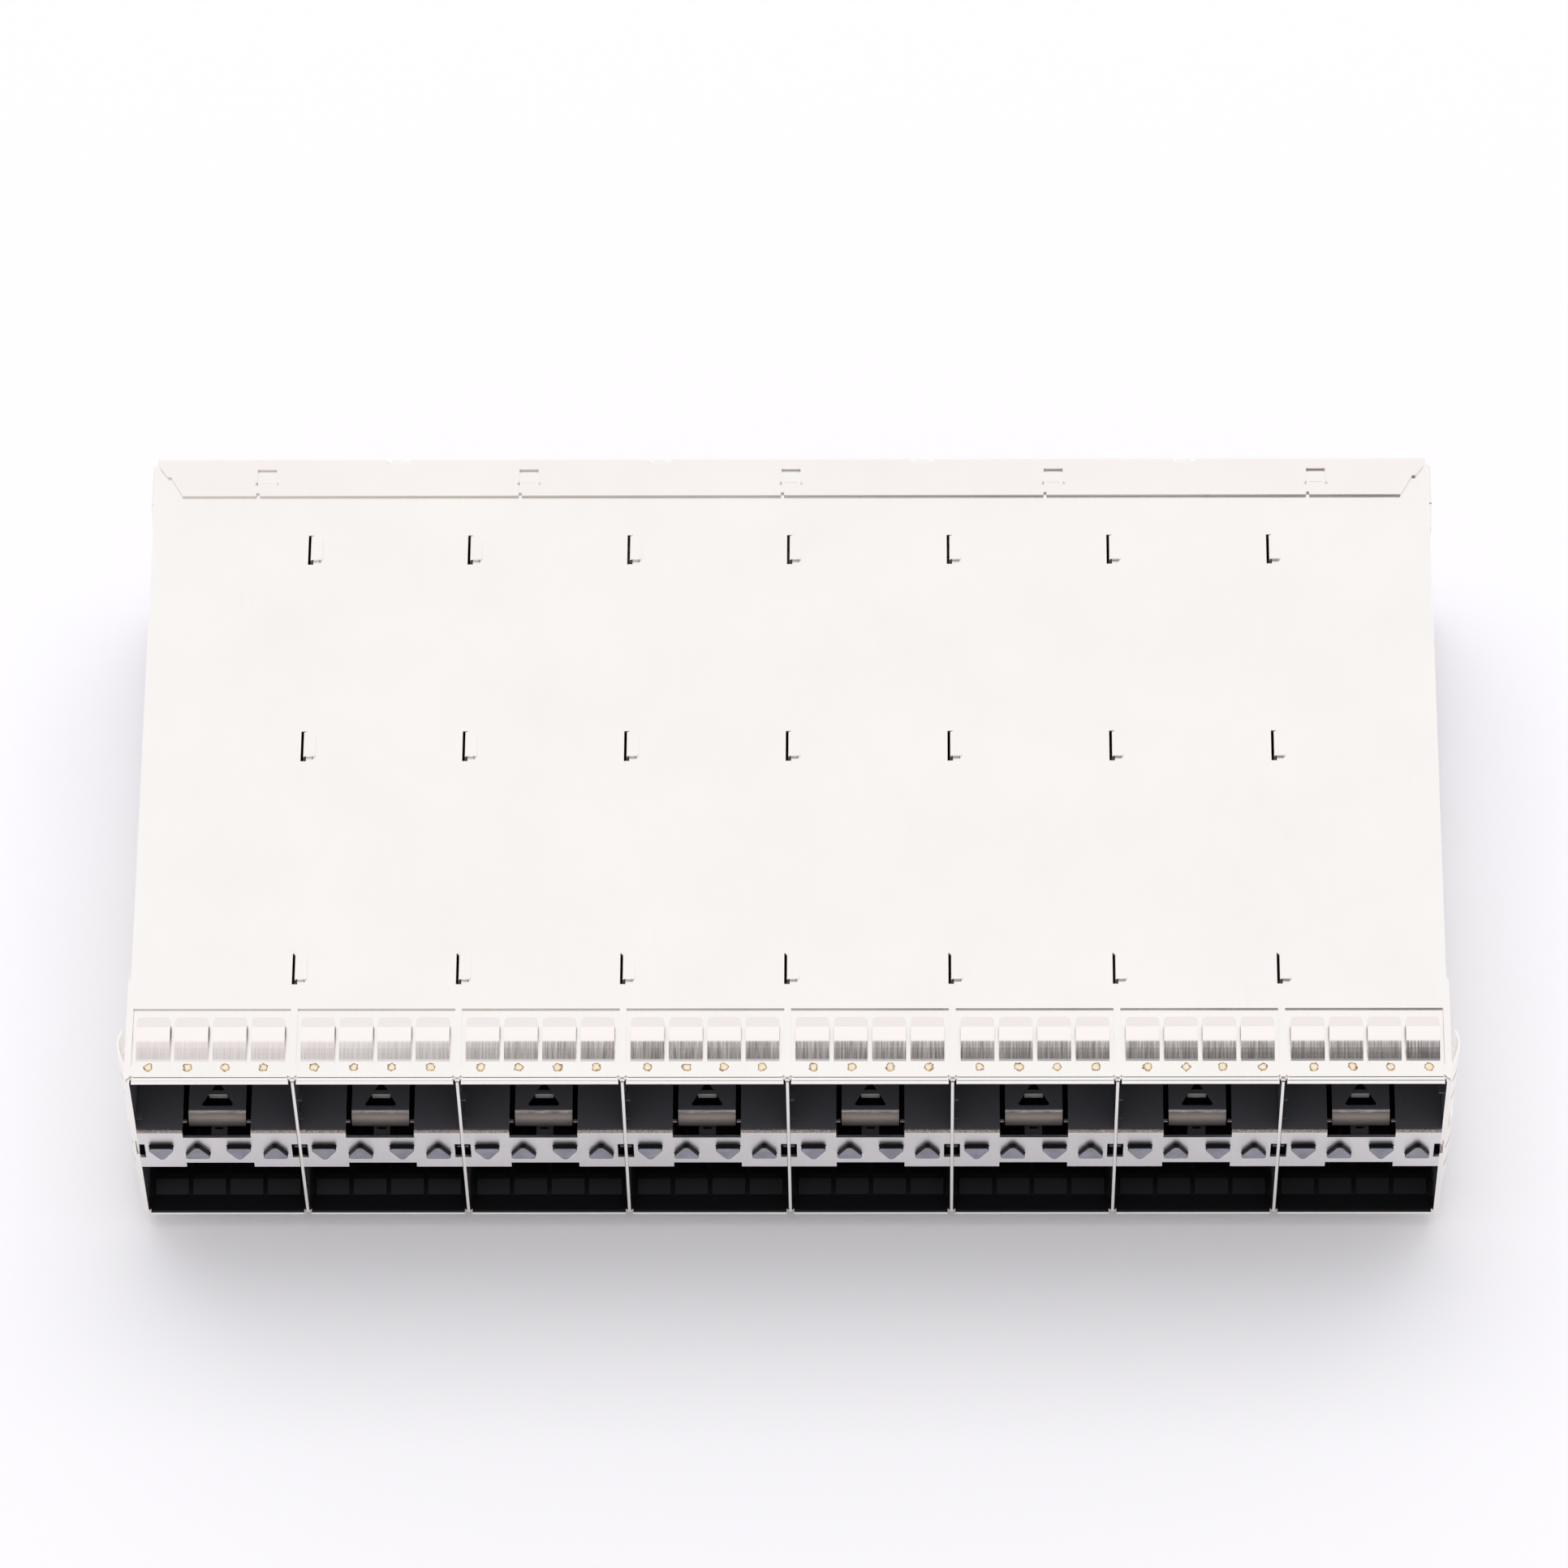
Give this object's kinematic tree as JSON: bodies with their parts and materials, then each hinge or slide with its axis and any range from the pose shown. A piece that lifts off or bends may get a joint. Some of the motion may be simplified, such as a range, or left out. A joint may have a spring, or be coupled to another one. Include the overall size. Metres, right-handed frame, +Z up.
{
  "type": "sfp cage",
  "caption": "Stacked, ganged pluggable-module cage: two rows of ports belly to belly in press-fit sheet metal, with a spring-finger collar, light-pipe windows and card-edge connectors.",
  "frame": {"origin": "centre of the footprint on the plane of the board's top face", "axes": "+X to the right seen from the front, ports open towards -Y, +Z up from the board"},
  "size_m": [0.1164, 0.0642, 0.0278],
  "materials": {
    "tinned_sheet": "satin, tin over nickel silver",
    "spring_sheet": "satin spring sheet",
    "plated_sheet": "satin nickel plate",
    "clear_rod": "clear polycarbonate, dark against the inside",
    "black_moulding": "glass-filled black moulding",
    "contact_alloy": "gold over copper alloy"
  },
  "bodies": {
    "root": {"cage_shell": "tinned_sheet", "front_collar": "tinned_sheet", "bottom_plate": "tinned_sheet", "rear_cover": "tinned_sheet", "divider_1": "tinned_sheet", "divider_2": "tinned_sheet", "divider_3": "tinned_sheet", "divider_4": "tinned_sheet", "divider_5": "tinned_sheet", "divider_6": "tinned_sheet", "divider_7": "tinned_sheet", "separator_1": "plated_sheet", "separator_2": "plated_sheet", "separator_3": "plated_sheet", "separator_4": "plated_sheet", "separator_5": "plated_sheet", "separator_6": "plated_sheet", "separator_7": "plated_sheet", "separator_8": "plated_sheet", "light_pipes_1": "clear_rod", "light_pipes_2": "clear_rod", "light_pipes_3": "clear_rod", "light_pipes_4": "clear_rod", "light_pipes_5": "clear_rod", "light_pipes_6": "clear_rod", "light_pipes_7": "clear_rod", "light_pipes_8": "clear_rod", "connector_housing_1": "black_moulding", "connector_housing_2": "black_moulding", "connector_housing_3": "black_moulding", "connector_housing_4": "black_moulding", "connector_housing_5": "black_moulding", "connector_housing_6": "black_moulding", "connector_housing_7": "black_moulding", "connector_housing_8": "black_moulding", "contacts_1": "contact_alloy", "contacts_2": "contact_alloy", "contacts_3": "contact_alloy", "contacts_4": "contact_alloy", "contacts_5": "contact_alloy", "contacts_6": "contact_alloy", "contacts_7": "contact_alloy", "contacts_8": "contact_alloy", "upper_spring_1": "spring_sheet", "upper_spring_2": "spring_sheet", "upper_spring_3": "spring_sheet", "upper_spring_4": "spring_sheet", "upper_spring_5": "spring_sheet", "upper_spring_6": "spring_sheet", "upper_spring_7": "spring_sheet", "upper_spring_8": "spring_sheet", "lower_spring_1": "spring_sheet", "lower_spring_2": "spring_sheet", "lower_spring_3": "spring_sheet", "lower_spring_4": "spring_sheet", "lower_spring_5": "spring_sheet", "lower_spring_6": "spring_sheet", "lower_spring_7": "spring_sheet", "lower_spring_8": "spring_sheet"}
  },
  "joints": []
}
